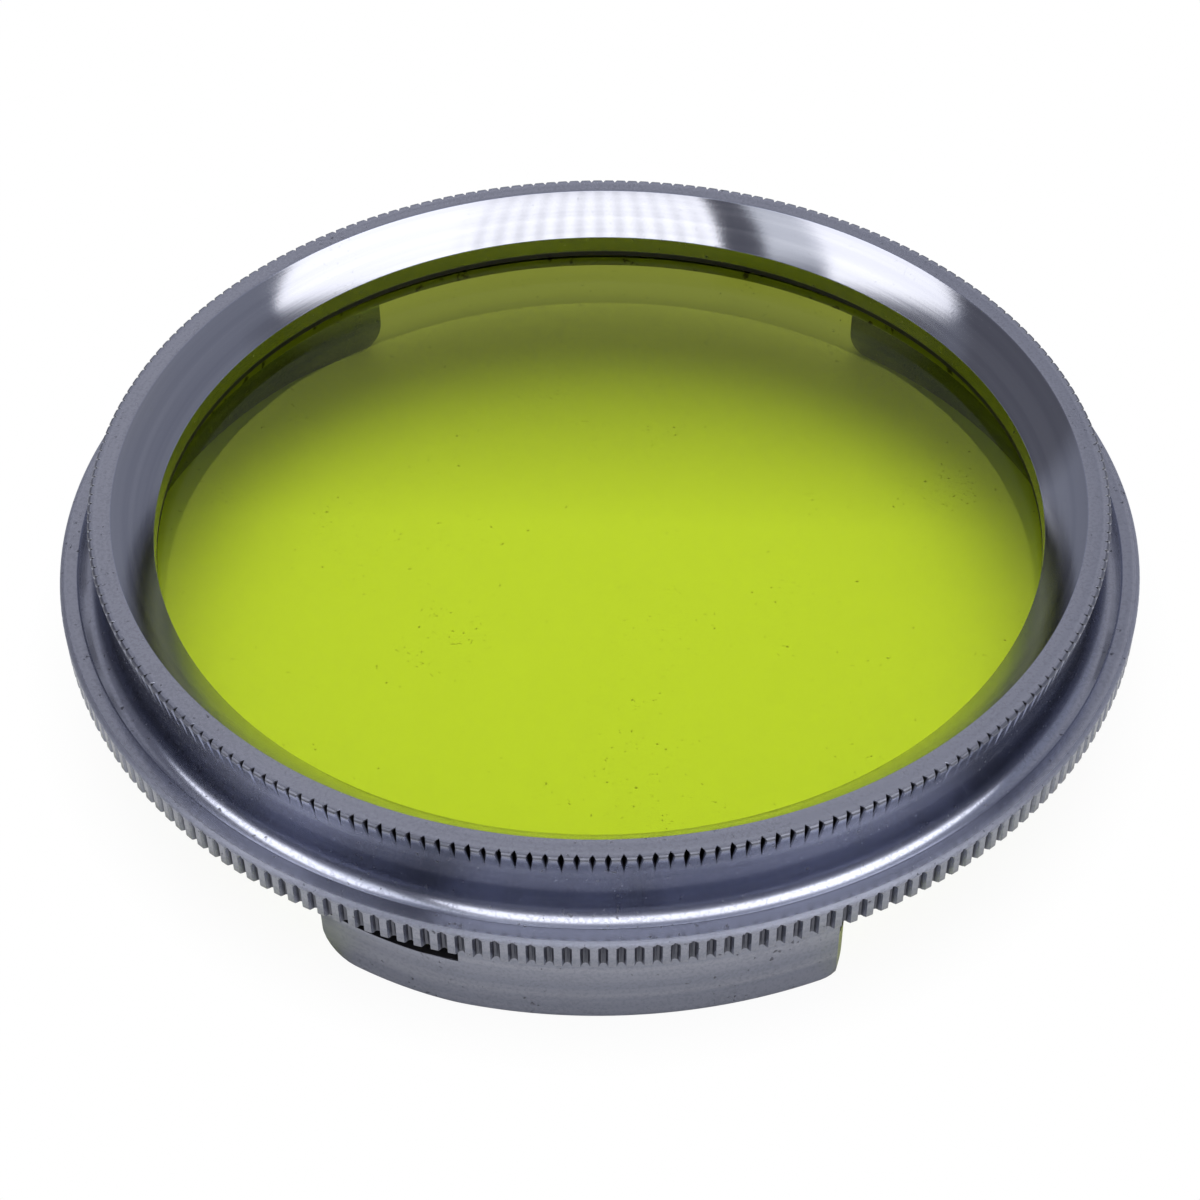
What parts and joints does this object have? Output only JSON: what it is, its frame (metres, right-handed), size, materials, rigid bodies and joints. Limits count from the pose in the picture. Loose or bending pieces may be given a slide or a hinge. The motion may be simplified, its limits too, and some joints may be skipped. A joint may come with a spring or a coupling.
{
  "type": "slip-on colour filter",
  "caption": "Round slip-on lens filter: knurled aluminium mount with spring tabs that grip a lens barrel, holding a flat disc of yellow-green glass.",
  "frame": {"origin": "on the filter's axis, in the plane of the feet of the three tabs", "axes": "+Z along the optical axis, out of the front of the filter; -Y through the middle of one tab"},
  "size_m": [0.04, 0.04, 0.0068],
  "materials": {
    "aluminium": "satin turned, worn",
    "green_glass": "polished",
    "spring_steel": "dull wire"
  },
  "bodies": {
    "root": {"mount_ring": "aluminium", "filter_glass": "green_glass", "retaining_ring": "spring_steel"}
  },
  "joints": []
}
